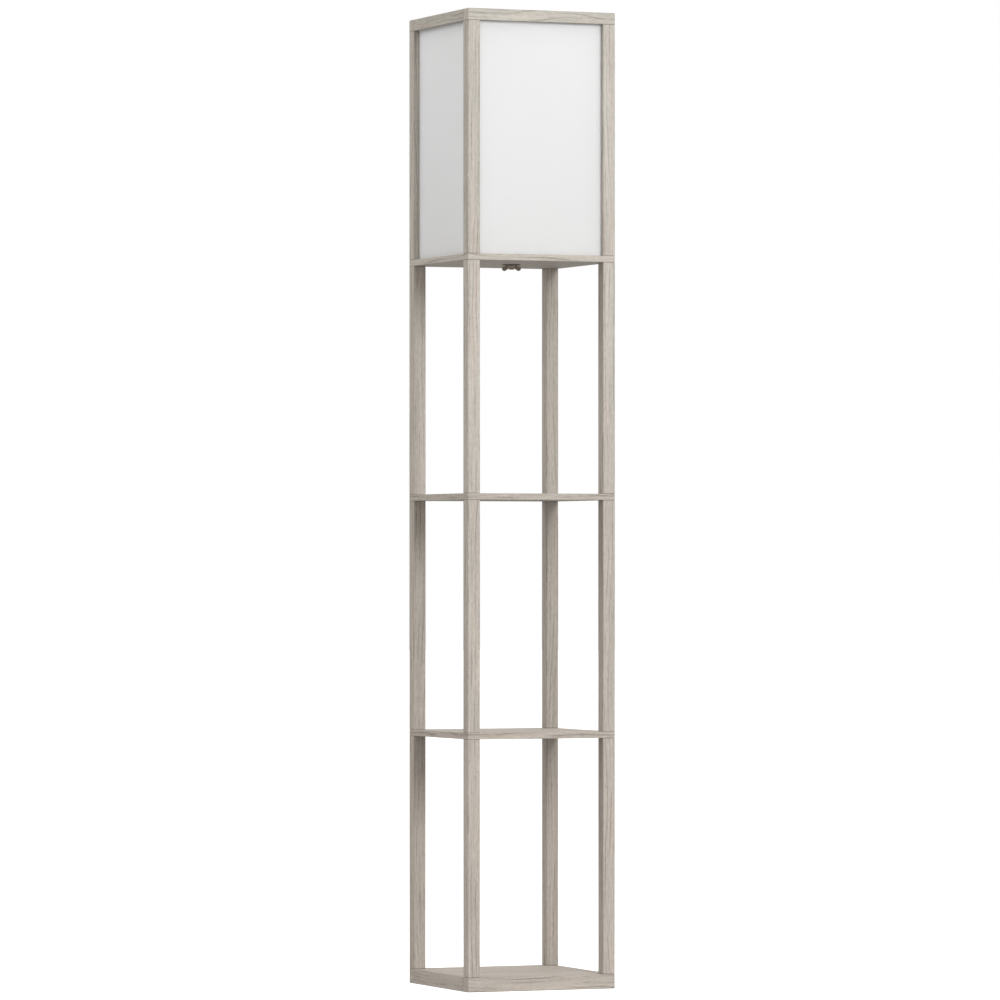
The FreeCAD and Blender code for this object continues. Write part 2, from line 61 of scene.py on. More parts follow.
def linear(*levels: int) -> Colour:
    """Turn a display colour into linear light.

    Args:
        levels: Red, green and blue, 0 to 255.

    Returns:
        The same colour as three linear numbers.
    """
    parts = [level / 255 for level in levels]
    return tuple(part / 12.92 if part <= 0.04045 else ((part + 0.055) / 1.055) ** 2.4 for part in parts)


class Grain(Enum):
    """Direction of a timber piece's grain."""

    ALONG_X = "x"
    ALONG_Y = "y"
    ALONG_Z = "z"
    BANDED = "banded"


class Size(Enum):
    """Kind of a geometry tree's input."""

    AMOUNT = "Float"
    COUNT = "Int"


def operator(operation: str, swapped: bool = False) -> Callable[..., "Signal"]:
    """Make a method of Signal that adds one Math node.

    Args:
        operation: The node's operation.
        swapped: Whether the other term comes first, as in a reflected form.

    Returns:
        The method; it takes a signal or a number where the operation has a second term.
    """

    def method(self: "Signal", *other: "Signal | float") -> "Signal":
        return self.graph.math(operation, *((*other, self) if swapped else (self, *other)))

    return method


class Signal:
    """A number that comes out of a node; arithmetic on it adds Math nodes."""

    __add__ = __radd__ = operator("ADD")
    __sub__ = operator("SUBTRACT")
    __rsub__ = operator("SUBTRACT", swapped=True)
    __mul__ = __rmul__ = operator("MULTIPLY")
    __truediv__ = operator("DIVIDE")
    __pow__ = operator("POWER")
    __abs__ = operator("ABSOLUTE")
    at_least = operator("MAXIMUM")
    at_most = operator("MINIMUM")
    sine = operator("SINE")

    def __init__(self, graph: "NodeGraph", source: Node | NodeSocket) -> None:
        """Keep the graph, and the output socket or the node that the number comes out of."""
        self.graph = graph
        self.source = source

    def above(self, low: float, high: float) -> "Signal":
        """Mask that rises smoothly from 0 at low to 1 at high; high may be the smaller one."""
        span = {"Value": self, "From Min": low, "From Max": high}
        return self.graph.signal("ShaderNodeMapRange", span, interpolation_type="SMOOTHSTEP")


Value = Signal | Node | NodeSocket | float | int | tuple


class NodeGraph:
    """Builds the nodes of one material, world or geometry tree."""

    def __init__(self, tree: NodeTree) -> None:
        """Take a tree and clear it."""
        self.tree = tree
        tree.nodes.clear()

    def node(self, kind: str, inputs: dict | None = None, **settings: str | bool) -> Node:
        """Add one node.

        Args:
            kind: Node type.
            inputs: Value or link for each socket, by name or number.
            settings: The node's own settings, set first.

        Returns:
            The new node.
        """
        new = self.tree.nodes.new(kind)
        for name, value in settings.items():
            setattr(new, name, value)
        for name, value in (inputs or {}).items():
            self.feed(new.inputs[name], value)
        return new

    def signal(self, kind: str, inputs: dict | None = None, **settings: str | bool) -> Signal:
        """Add one node whose first output is a number."""
        return Signal(self, self.node(kind, inputs, **settings))

    def feed(self, socket: NodeSocket, value: Value) -> None:
        """Link a value to a socket, or set it there.

        Args:
            socket: Input socket.
            value: Signal, node (its first output), output socket, number or tuple.
        """
        source = value.source if isinstance(value, Signal) else value
        source = source.outputs[0] if isinstance(source, Node) else source
        if isinstance(source, NodeSocket):
            self.tree.links.new(source, socket)
        else:
            socket.default_value = source

    def math(self, operation: str, *terms: Value) -> Signal:
        """Result of a Math node with one or two terms."""
        return self.signal("ShaderNodeMath", dict(enumerate(terms)), operation=operation)

    def place(self) -> tuple[Signal, Signal, Signal]:
        """Read the piece's own coordinates.

        Returns:
            Distances along X, Y and Z, in metres.
        """
        where = self.node("ShaderNodeTexCoord").outputs["Object"]
        return tuple(Signal(self, part) for part in self.node("ShaderNodeSeparateXYZ", {0: where}).outputs)

    def vector(self, x: Value, y: Value, z: Value = 0.0) -> Node:
        """Join three values into a vector."""
        return self.node("ShaderNodeCombineXYZ", {0: x, 1: y, 2: z})

    def noise(self, where: Value, detail: float = 2.0, roughness: float = 0.5) -> Signal:
        """Smooth noise around 0.5, features one unit apart, with finer layers of the given strength."""
        inputs = {"Vector": where, "Scale": 1.0, "Detail": detail, "Roughness": roughness}
        return self.signal("ShaderNodeTexNoise", inputs, noise_dimensions="3D", normalize=True)

    def speckle(
        self, place: tuple[Signal, ...], per_metre: float, detail: float = 2.0, roughness: float = 0.5
    ) -> Signal:
        """Noise of one scale in every direction, with so many features to a metre."""
        return self.noise(self.vector(*(axis * per_metre for axis in place)), detail, roughness)

    def blend(self, share: Value, first: Value, second: Value) -> NodeSocket:
        """Mix two colours.

        Args:
            share: Share of the second colour, 0 to 1.
            first: First colour.
            second: Second colour.

        Returns:
            The mixed colour's socket.
        """
        node = self.node("ShaderNodeMix", data_type="RGBA", clamp_factor=True)
        sockets = {socket.identifier: socket for socket in node.inputs}
        self.feed(sockets["Factor_Float"], share)
        for name, colour in (("A_Color", first), ("B_Color", second)):
            self.feed(sockets[name], (*colour, 1.0) if isinstance(colour, tuple) else colour)
        return next(out for out in node.outputs if out.identifier == "Result_Color")

    def bump(self, height: Value, distance: float) -> Node:
        """Surface relief from a height, 0 to 1, where 1 stands for a distance in metres."""
        return self.node("ShaderNodeBump", {"Height": height, "Distance": distance})

    def principled(self, inputs: dict[str, Value]) -> Node:
        """Principled shader with the given inputs."""
        return self.node("ShaderNodeBsdfPrincipled", inputs)


class Finish:
    """A surface finish that can be put on pieces; each kind has its own shader method."""

    def material(self, name: str, *piece: Grain | int | tuple[Vector, Vector]) -> Material:
        """Make the finish's material.

        Args:
            name: The material's name.
            piece: What the shader has to know of the piece that wears it.

        Returns:
            The material.
        """
        material = bpy.data.materials.new(name)
        material.use_nodes = True
        graph = NodeGraph(material.node_tree)
        graph.node("ShaderNodeOutputMaterial", {"Surface": self.shader(graph, *piece)})
        return material


@dataclass(frozen=True)
class Figure:
    """Noise drawn out along the grain, and its share in the print's tone."""

    along: float
    across: float
    detail: float
    roughness: float = 0.5
    share: float = 0.0

    def draw(self, graph: NodeGraph, along: Signal, across: Signal, depth: Signal) -> Signal:
        """Noise, around 0.5, at a distance along the grain and two across it."""
        where = graph.vector(along * self.along, across * self.across, depth * self.across)
        return graph.noise(where, self.detail, self.roughness)


@dataclass(frozen=True)
class OakLaminate(Finish):
    """Greige oak print on foil: streaks along the piece, some arched figure, short pores; painted shade
    darkens every edge and the pieces lower in the tower.
    """

    # Print colours for the top of the tower, and slightly darker, warmer copies for the pieces near the
    # floor: painted shade towards the floor.
    light_high: Colour = linear(194, 190, 182)
    light_low_painted_shade: Colour = linear(191, 184, 176)
    dark_high: Colour = linear(116, 111, 101)
    dark_low_painted_shade: Colour = linear(115, 107, 98)
    worn: Colour = linear(208, 203, 194)
    flush: Colour = linear(203, 188, 178)
    # Dark colour of the hairline at the sawn ends, and of the painted shade along every edge.
    seam_and_edge_shade: Colour = linear(112, 104, 95)
    tower_height: float = 1.6

    print_length: float = 3.0
    print_width: float = 0.9
    bend: Figure = Figure(5.0, 15.0, 2.0, 0.45)
    cloud: Figure = Figure(4.0, 60.0, 2.0, share=0.45)
    streak: Figure = Figure(9.0, 430.0, 3.0, 0.6, share=0.62)
    fibre: Figure = Figure(90.0, 820.0, 3.0, 0.65, share=0.84)
    pores: Figure = Figure(130.0, 3000.0, 0.0, share=0.28)
    patches: Figure = Figure(11.0, 90.0, 1.0)
    flushes: Figure = Figure(7.0, 150.0, 2.0)
    tone: float = 0.72
    piece_share: float = 0.08

    ring_pitch: float = 6.0 * MM
    ring_across: float = 0.9
    ring_depth: float = 0.55
    ring_slope: float = 0.05
    ring_sharpness: float = 12.0
    ring_share: float = 0.52
    post_ring_share: float = 0.44
    bend_across: float = 18.0 * MM
    bend_depth: float = 12.0 * MM
    post_sway: float = 0.5
    board_sway: float = 0.4
    board_half: float = 50.0 * MM

    # Strength of the painted shade along the edges; boards with edge bands get less.
    edge_shade_share: float = 0.3
    band_edge_shade_share: float = 0.1
    worn_share: float = 0.5
    worn_scale: float = 90.0
    roughness: float = 0.52
    relief: float = 0.09 * MM

    def shader(self, graph: NodeGraph, grain: Grain, seed: int, box: tuple[Vector, Vector]) -> Node:
        """Print one timber piece.

        Args:
            graph: The material's graph.
            grain: Direction of the piece's grain.
            seed: Number that gives the piece its own figure.
            box: The piece's lowest and highest corners.

        Returns:
            The shader.
        """
        centre, half = (box[0] + box[1]) / 2, (box[1] - box[0]) / 2
        place = graph.place()
        offsets = [axis - middle for axis, middle in zip(place, centre)]
        along, across, depth = self._grain_axes(graph, offsets, grain)
        shift = [math.fmod(seed * step, 1.0) for step in (0.618, 0.414, 0.732)]
        along = along + (shift[0] - 0.5) * self.print_length
        across = across + shift[1] * self.print_width
        depth = depth + shift[2] * self.print_width

        post, board = grain is Grain.ALONG_Z, min(half.x, half.y) > self.board_half
        sway = self.board_sway if board else self.post_sway if post else 1.0
        bend = (self.bend.draw(graph, along, across, depth) - 0.5) * sway
        across = across + bend * self.bend_across
        depth = depth + bend * self.bend_depth
        axes = (along, across, depth)
        figures = (self.cloud, self.streak, self.fibre)
        cloud, streak, fibre = (figure.draw(graph, *axes) - 0.5 for figure in figures)
        pores = self.pores.draw(graph, *axes).above(0.62, 0.74)

        layers = across * self.ring_across + depth * self.ring_depth
        layers = layers + along * ((shift[2] - 0.5) * self.ring_slope) + bend * self.bend_depth
        rings = (layers * (TURN / self.ring_pitch)).sine() * 0.5 + 0.5
        lines = rings**self.ring_sharpness * self.patches.draw(graph, *axes).above(0.38, 0.6)

        tone = self.tone + (shift[2] - 0.5) * self.piece_share
        tone = tone + cloud * self.cloud.share + streak * self.streak.share + fibre * self.fibre.share
        tone = tone - lines * (self.post_ring_share if post else self.ring_share) - pores * self.pores.share
        # Pieces lower in the tower get the darker, warmer colours: painted shade by height.
        low = 1.0 - min(1.0, centre.z / self.tower_height)
        pairs = ((self.light_high, self.light_low_painted_shade), (self.dark_high, self.dark_low_painted_shade))
        light, dark = (tuple(high + (base - high) * low for high, base in zip(*pair)) for pair in pairs)
        colour = graph.blend(tone, dark, light)
        flush = self.flushes.draw(graph, *axes).above(0.45, 0.75)
        colour = graph.blend(flush * 0.5, colour, graph.blend(tone, dark, self.flush))

        edge, end = self._seams(offsets, half, grain)
        rubbed = graph.speckle(place, self.worn_scale).above(0.55, 0.75)
        # The dark line along every edge is painted shade of the rounded arris; the pale rubbed spots on it
        # are wear.
        edge_shade = self.band_edge_shade_share if grain is Grain.BANDED else self.edge_shade_share
        colour = graph.blend(edge * edge_shade, colour, self.seam_and_edge_shade)
        colour = graph.blend(edge * rubbed * self.worn_share, colour, self.worn)
        colour = graph.blend(end * 0.5, colour, self.seam_and_edge_shade)
        relief = streak * 0.5 - lines * 0.3 - pores * 0.5
        return graph.principled(
            {
                "Base Color": colour,
                "Roughness": self.roughness + streak * 0.16 + lines * 0.06 - edge * 0.06,
                "Specular IOR Level": 0.42,
                "Normal": graph.bump(relief, self.relief),
            }
        )

    @staticmethod
    def _grain_axes(graph: NodeGraph, place: list[Signal], grain: Grain) -> tuple[Signal, Signal, Signal]:
        """Order a piece's coordinates by its grain.

        Args:
            graph: The material's graph.
            place: Distances from the piece's middle along X, Y and Z.
            grain: Direction of the grain; BANDED boards have edge bands that run along each edge.

        Returns:
            Distance along the grain and two distances across it.
        """
        x, y, z = place
        orders = {Grain.ALONG_X: (x, z, y), Grain.ALONG_Y: (y, z, x), Grain.ALONG_Z: (z, x, y)}
        if grain in orders:
            return orders[grain]
        normal = graph.node("ShaderNodeNewGeometry").outputs["True Normal"]
        side_band = abs(graph.signal("ShaderNodeSeparateXYZ", {0: normal})).above(0.6, 0.8)
        return x + (y - x) * side_band, y + (x - y) * side_band, z

    @staticmethod
    def _seams(place: list[Signal], half: Vector, grain: Grain) -> tuple[Signal, Signal | float]:
        """Find the edges, where the foil is folded and shade is painted, and where the piece was sawn off.

        Args:
            place: Distances from the block's middle.
            half: Half its size along X, Y and Z.
            grain: Direction of its grain; boards and the members along X show no joint at their ends.

        Returns:
            Mask of the edges within a millimetre, and mask of a hairline at the two ends of the grain.
        """
        depths = [size - abs(offset) for offset, size in zip(place, half)]
        x, y, z = depths
        second = x.at_most(y).at_least(y.at_most(z)).at_least(x.at_most(z))
        edge = second.above(1.3 * MM, 0.3 * MM)
        if grain in (Grain.BANDED, Grain.ALONG_X):
            return edge, 0.0
        return edge, depths[1 if grain is Grain.ALONG_Y else 2].above(0.9 * MM, 0.3 * MM)


@dataclass(frozen=True)
class ShadeFabric(Finish):
    """Off-white woven fabric bonded to a translucent liner."""

    colour: Colour = linear(243, 243, 243)
    thread: Colour = linear(236, 237, 236)
    pitch: float = 0.55 * MM
    roughness: float = 0.86
    lit_through: Colour = linear(236, 238, 241)
    translucency: float = 0.48
    thread_fine: float = 1500.0
    thread_long: float = 55.0
    thread_share: float = 1.2
    weft_start: float = 7.0
    cloud_scale: float = 14.0
    cloud_share: float = 0.2
    tone: float = 0.42
    relief: float = 0.06 * MM

    def shader(self, graph: NodeGraph) -> Node:
        """Weave the fabric, lit through from behind; it reads the sheet's UV map, in metres.

        Args:
            graph: The material's graph.

        Returns:
            The shader.
        """
        weave = graph.node("ShaderNodeUVMap", uv_map="weave")
        parts = graph.node("ShaderNodeSeparateXYZ", {0: weave})
        across, up = Signal(graph, parts.outputs[0]), Signal(graph, parts.outputs[1])
        warp = graph.noise(graph.vector(across * self.thread_fine, up * self.thread_long), 2.0, 0.6)
        weft_place = graph.vector(across * self.thread_long, up * self.thread_fine, self.weft_start)
        weft = graph.noise(weft_place, 2.0, 0.6)
        crossing = (across * (TURN / self.pitch)).sine() * (up * (TURN / self.pitch)).sine()
        cloud = graph.noise(graph.vector(across * self.cloud_scale, up * self.cloud_scale), 3.0, 0.6)
        tone = self.tone + (warp + weft - 1.0) * self.thread_share + (cloud - 0.5) * self.cloud_share
        normal = graph.bump(crossing * 0.3 + (warp + weft) * 0.7, self.relief)
        front = graph.principled(
            {
                "Base Color": graph.blend(tone, self.colour, self.thread),
                "Roughness": self.roughness + (warp - weft) * 0.1,
                "Specular IOR Level": 0.25,
                "Sheen Weight": 0.08,
                "Normal": normal,
            }
        )
        lit = {"Color": (*self.lit_through, 1.0), "Normal": normal}
        through = graph.node("ShaderNodeBsdfTranslucent", lit)
        return graph.node("ShaderNodeMixShader", {0: self.translucency, 1: front, 2: through})


@dataclass(frozen=True)
class Metal(Finish):
    """Plated or bare metal with faint tool marks and dull spots."""

    colour: Colour
    roughness: float
    dull: Colour
    dullness: float = 0.35
    thread_pitch: float = 0.0
    spot_scale: float = 900.0
    mark_scale: float = 4200.0
    relief: float = 0.03 * MM
    metallic: float = 1.0

    def shader(self, graph: NodeGraph) -> Node:
        """Give the metal its spots and tool marks, or its thread.

        Args:
            graph: The material's graph.

        Returns:
            The shader.
        """
        place = graph.place()
        spots = graph.speckle(place, self.spot_scale, 3.0, 0.6)
        colour = graph.blend(spots.above(0.45, 0.75) * self.dullness, self.colour, self.dull)
        if self.thread_pitch:
            height = (place[2] * (TURN / self.thread_pitch)).sine() * 0.5 + 0.5
            relief = self.thread_pitch * 0.3
        else:
            height = spots * 0.7 + graph.speckle(place, self.mark_scale, 1.0) * 0.3
            relief = self.relief
        return graph.principled(
            {
                "Base Color": colour,
                "Metallic": self.metallic,
                "Roughness": self.roughness + (spots - 0.5) * 0.25,
                "Normal": graph.bump(height, relief),
            }
        )


@dataclass(frozen=True)
class Moulding(Finish):
    """Moulded plastic, glazed ceramic, glass or opal diffuser, by its gloss and grain."""

    colour: Colour
    shade: Colour
    roughness: float
    grain: float = 500.0
    relief: float = 0.02 * MM
    coat: float = 0.0

    def shader(self, graph: NodeGraph) -> Node:
        """Give the moulding its faint grain.

        Args:
            graph: The material's graph.

        Returns:
            The shader.
        """
        place = graph.place()
        fine = graph.speckle(place, self.grain * 4)
        broad = graph.speckle(place, self.grain * 0.2)
        return graph.principled(
            {
                "Base Color": graph.blend((broad - 0.5) * 1.4 + 0.35, self.colour, self.shade),
                "Roughness": self.roughness + (broad - 0.5) * 0.12,
                "Coat Weight": self.coat,
                "Normal": graph.bump(fine, self.relief),
            }
        )


@dataclass(frozen=True)
class TurnedBeech(Finish):
    """Plain beech of the dowels, with small flecks."""

    light: Colour = linear(214, 186, 150)
    dark: Colour = linear(178, 142, 104)
    fleck_scale: float = 500.0
    relief: float = 0.08 * MM

    def shader(self, graph: NodeGraph) -> Node:
        """Give the beech its flecks.

        Args:
            graph: The material's graph.

        Returns:
            The shader.
        """
        flecks = graph.speckle(graph.place(), self.fleck_scale, 3.0, 0.65)
        return graph.principled(
            {
                "Base Color": graph.blend(flecks, self.dark, self.light),
                "Roughness": 0.6 + flecks * 0.2,
                "Normal": graph.bump(flecks, self.relief),
            }
        )


def dress(nodes: list[str], material: Material) -> None:
    """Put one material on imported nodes.

    Args:
        nodes: Names of the nodes.
        material: Material that fills their slots.
    """
    for name in nodes:
        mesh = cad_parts[name].data
        mesh.materials.clear()
        mesh.materials.append(material)


def dress_all(finishes: dict[str, tuple[Finish, list[str]]]) -> list[str]:
    """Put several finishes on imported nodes.

    Args:
        finishes: For each material's name, its finish and its nodes.

    Returns:
        Names of the dressed nodes.
    """
    done = []
    for name, (finish, nodes) in finishes.items():
        dress(nodes, finish.material(name))
        done += nodes
    return done


@dataclass
class Tower:
    """Timber of the lamp: base frame and panel, posts, shelves, lamp board and top frame."""

    laminate: OakLaminate = OakLaminate()
    corners: tuple[str, ...] = ("front_left", "front_right", "rear_left", "rear_right")
    bays: tuple[str, ...] = ("lower", "middle", "upper", "shade")
    boards: tuple[str, ...] = ("shelf_lower", "shelf_middle", "lamp_board")

    def grains(self) -> dict[str, Grain]:
        """Find the grain direction of every timber node.

        Returns:
            The direction, by node.
        """
        found = {f"post_{corner}_{bay}": Grain.ALONG_Z for corner in self.corners for bay in self.bays}
        for member in ("base", "top_rail"):
            found |= {f"{member}_{side}": Grain.ALONG_X for side in ("front", "back")}
            found |= {f"{member}_{side}": Grain.ALONG_Y for side in ("left", "right")}
        found |= {board: Grain.BANDED for board in self.boards}
        found["base_panel"] = Grain.ALONG_X
        return found

    def build(self) -> list[str]:
        """Dress every timber node in its own stretch of the print.

        Returns:
            Names of the dressed nodes.
        """
        grains = self.grains()
        for seed, (name, grain) in enumerate(sorted(grains.items()), start=3):
            dress([name], self.laminate.material(f"laminate_{name}", grain, seed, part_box(name)))
        return sorted(grains)


@dataclass
class Shade:
    """Four sheets of lined fabric, stretched in the grooves of the shade posts and top frame."""

    fabric: ShadeFabric = ShadeFabric()
    sides: tuple[str, ...] = ("front", "back", "left", "right")
    columns: int = 24
    rows: int = 40
    ripple: float = 0.18 * MM
    waves_across: float = 3.1
    waves_up: float = 2.3

    def build(self) -> list[Object]:
        """Make the four sheets.

        Returns:
            The new objects.
        """
        material = self.fabric.material("shade_fabric")
        sheets = []
        for index, side in enumerate(self.sides):
            node = f"shade_panel_{side}"
            low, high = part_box(node)
            piece = self._sheet(f"shade_sheet_{side}", low, high, index)
            piece.data.materials.append(material)
            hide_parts(node)
            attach(piece, "tower")
            sheets.append(piece)
        return sheets

    def _sheet(self, name: str, low: Vector, high: Vector, seed: int) -> Object:
        """Make one sheet, closed round its edges.

        Args:
            name: Name of the piece.
            low: Lowest corner of its space.
            high: Highest corner of its space.
            seed: Number that gives the sheet its own slight ripple.

        Returns:
            The sheet's object.
        """
        span = high - low
        wide, thick = (0, 1) if span.x > span.y else (1, 0)
        built = bmesh.new()
        layer = built.loops.layers.uv.new("weave")
        skin = span[thick] - 2 * self.ripple
        rims = []
        for face in (-0.5, 0.5):
            grid = [[] for _ in range(self.rows + 1)]
            for row, line in enumerate(grid):
                for column in range(self.columns + 1):
                    u, v = column / self.columns, row / self.rows
                    place = low.copy()
                    place[wide] += u * span[wide]
                    place[thick] += span[thick] / 2 + face * skin + self.ripple * self._wave(u, v, seed)
                    place.z += v * span.z
                    line.append(built.verts.new(place))
            for lower, upper in zip(grid, grid[1:]):
                for index in range(self.columns):
                    built.faces.new([lower[index], lower[index + 1], upper[index + 1], upper[index]])
            rim = grid[0][:-1] + [line[-1] for line in grid[:-1]]
            rims.append(rim + grid[-1][:0:-1] + [line[0] for line in grid[:0:-1]])
        front, back = rims
        for index in range(len(front)):
            built.faces.new([front[index - 1], front[index], back[index], back[index - 1]])
        bmesh.ops.recalc_face_normals(built, faces=built.faces)
        for face in built.faces:
            for loop in face.loops:
                place = loop.vert.co - low
                loop[layer].uv = (place[wide], place.z)
        return mesh_object(name, built)

    def _wave(self, u: float, v: float, seed: int) -> float:
        """Give a stretched sheet its slight unevenness, nothing at its held edges.

        Args:
            u: Place across the sheet, 0 to 1.
            v: Place up the sheet, 0 to 1.
            seed: Number of the sheet.

        Returns:
            Share of the greatest unevenness, -1 to 1.
        """
        held = math.sin(math.pi * u) * math.sin(math.pi * v)
        across = math.sin(self.waves_across * u * math.pi + seed)
        return held * across * math.cos(self.waves_up * v * math.pi + 2 * seed)


def mesh_object(name: str, built: bmesh.types.BMesh) -> Object:
    """Turn a built mesh into an object in the scene, smooth where faces meet at less than 35 degrees.

    Args:
        name: Name of the piece.
        built: The mesh; it is freed.

    Returns:
        The object, at the origin.
    """
    mesh = bpy.data.meshes.new(name)
    built.to_mesh(mesh)
    built.free()
    piece = bpy.data.objects.new(name, mesh)
    bpy.context.scene.collection.objects.link(piece)
    mesh.shade_smooth()
    mesh.set_sharp_from_angle(angle=math.radians(35))
    return piece


def settle(piece: Object) -> None:
    """Turn a piece with its modifiers into a plain mesh.

    Args:
        piece: Object with live modifiers.
    """
    graph = bpy.context.evaluated_depsgraph_get()
    mesh = bpy.data.meshes.new_from_object(piece.evaluated_get(graph), depsgraph=graph)
    mesh.name = piece.data.name
    piece.modifiers.clear()
    piece.data = mesh


def arc(centre: Pair, radius: float, start: float, stop: float, steps: int) -> list[Pair]:
    """Points of an arc in a turned profile, both ends included; angles in degrees, 90 upwards."""
    angles = [math.radians(start + (stop - start) * step / steps) for step in range(steps + 1)]
    return [(centre[0] + radius * math.cos(t), centre[1] + radius * math.sin(t)) for t in angles]


def turned(name: str, profile: list[Pair], segments: int = 64) -> Object:
    """Turn a closed profile about the Z axis.

    Args:
        name: Name of the piece.
        profile: Radius and height of each corner, in metres; the last joins the first.
        segments: Steps round the axis.

    Returns:
        The piece.
    """
    built = bmesh.new()
    rings = []
    for radius, height in profile:
        count = segments if radius > ON_AXIS else 1
        turns = [TURN * index / segments for index in range(count)]
        rings.append([built.verts.new((radius * math.cos(t), radius * math.sin(t), height)) for t in turns])
    for lower, upper in zip(rings, rings[1:] + rings[:1]):
        if len(lower) == len(upper) == 1:
            continue
        for index in range(segments):
            following = (index + 1) % segments
            corners = [(lower, index), (lower, following), (upper, following), (upper, index)]
            built.faces.new(list(dict.fromkeys(ring[place % len(ring)] for ring, place in corners)))
    bmesh.ops.recalc_face_normals(built, faces=built.faces)
    return mesh_object(name, built)


class GeometryTree:
    """A Geometry Nodes tree with named inputs that ends in Realize Instances and Set Material."""

    def __init__(self, name: str, sizes: dict[str, Size]) -> None:
        """Start the tree.

        Args:
            name: Name of the tree.
            sizes: Kind of each named input.
        """
        self.tree = bpy.data.node_groups.new(name, "GeometryNodeTree")
        face = self.tree.interface
        face.new_socket("Geometry", in_out="INPUT", socket_type="NodeSocketGeometry")
        kinds = {size: kind.value for size, kind in sizes.items()} | {"Finish": "Material"}
        self.identifiers = {
            size: face.new_socket(size, in_out="INPUT", socket_type=f"NodeSocket{kind}").identifier
            for size, kind in kinds.items()
        }
        face.new_socket("Geometry", in_out="OUTPUT", socket_type="NodeSocketGeometry")
        self.graph = NodeGraph(self.tree)
        self.entry = self.graph.node("NodeGroupInput")

    def size(self, name: str) -> Signal:
        """A named input as a signal."""
        return Signal(self.graph, self.entry.outputs[name])

    def lifted(self, part: Node, height: Signal) -> Node:
        """Move a part up."""
        inputs = {"Geometry": part, "Translation": self.graph.vector(0.0, 0.0, height)}
        return self.graph.node("GeometryNodeTransform", inputs)

    def finish(self, part: Node) -> None:
        """Join a part with what comes in, and end the tree.

        Args:
            part: Node whose geometry is added.
        """
        joined = self.graph.node("GeometryNodeJoinGeometry")
        self.graph.feed(joined.inputs[0], self.entry.outputs["Geometry"])
        self.graph.feed(joined.inputs[0], part)
        real = self.graph.node("GeometryNodeRealizeInstances", {"Geometry": joined})
        paint = {"Geometry": real, "Material": self.entry.outputs["Finish"]}
        painted = self.graph.node("GeometryNodeSetMaterial", paint)
        self.graph.node("NodeGroupOutput", {"Geometry": painted})

    def apply(self, piece: Object, values: dict[str, float | Material]) -> None:
        """Run the tree on a piece and keep the result as its mesh.

        Args:
            piece: Object to work on.
            values: Value of each named input.
        """
        modifier = piece.modifiers.new(self.tree.name, "NODES")
        modifier.node_group = self.tree
        for name, value in values.items():
            modifier[self.identifiers[name]] = value
        settle(piece)


class ThreadTree(GeometryTree):
    """Winds a screw thread round a core."""

    SIDES = 8

    def __init__(self) -> None:
        """Build the tree: a spiral swept by a round ridge."""
        sizes = dict.fromkeys(("Crest", "Depth", "Pitch", "Turns", "Foot"), Size.AMOUNT)
        super().__init__("screw_thread", sizes | {"Steps": Size.COUNT})
        ridge, turns = self.size("Depth"), self.size("Turns")
        middle = self.size("Crest") - ridge
        coil = {"Resolution": self.size("Steps"), "Rotations": turns, "Height": turns * self.size("Pitch")}
        coil |= {"Start Radius": middle, "End Radius": middle}
        line = self.graph.node("GeometryNodeCurveSpiral", coil)
        circle = {"Resolution": self.SIDES, "Radius": ridge}
        section = self.graph.node("GeometryNodeCurvePrimitiveCircle", circle, mode="RADIUS")
        sweep = {"Curve": line, "Profile Curve": section, "Fill Caps": True}
        raised = self.lifted(self.graph.node("GeometryNodeCurveToMesh", sweep), self.size("Foot"))
        self.finish(self.graph.node("GeometryNodeSetShadeSmooth", {"Geometry": raised}))


class ChipRingTree(GeometryTree):
    """Sets small square chips in a ring on a board."""

    def __init__(self) -> None:
        """Build the tree: a ring of points with a chip turned outwards on each."""
        sizes = dict.fromkeys(("Ring", "Level", "Chip", "Rise"), Size.AMOUNT)
        super().__init__("chip_ring", {"Count": Size.COUNT} | sizes)
        circle = {"Vertices": self.size("Count"), "Radius": self.size("Ring")}
        ring = self.graph.node("GeometryNodeMeshCircle", circle)
        side = self.size("Chip")
        block = self.graph.vector(side, side, self.size("Rise"))
        chip = self.graph.node("GeometryNodeMeshCube", {"Size": block})
        number = self.graph.signal("GeometryNodeInputIndex")
        turn = self.graph.vector(0.0, 0.0, number * TURN / self.size("Count"))
        places = {"Points": ring, "Instance": chip, "Rotation": turn}
        placed = self.graph.node("GeometryNodeInstanceOnPoints", places)
        self.finish(self.lifted(placed, self.size("Level")))


def stand_in(piece: Object, node: str, body: str) -> Object:
    """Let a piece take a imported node's place.

    Args:
        piece: The new piece.
        node: Node that it replaces.
        body: Body that it moves with.

    Returns:
        The piece.
    """
    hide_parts(node)
    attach(piece, body)
    return piece


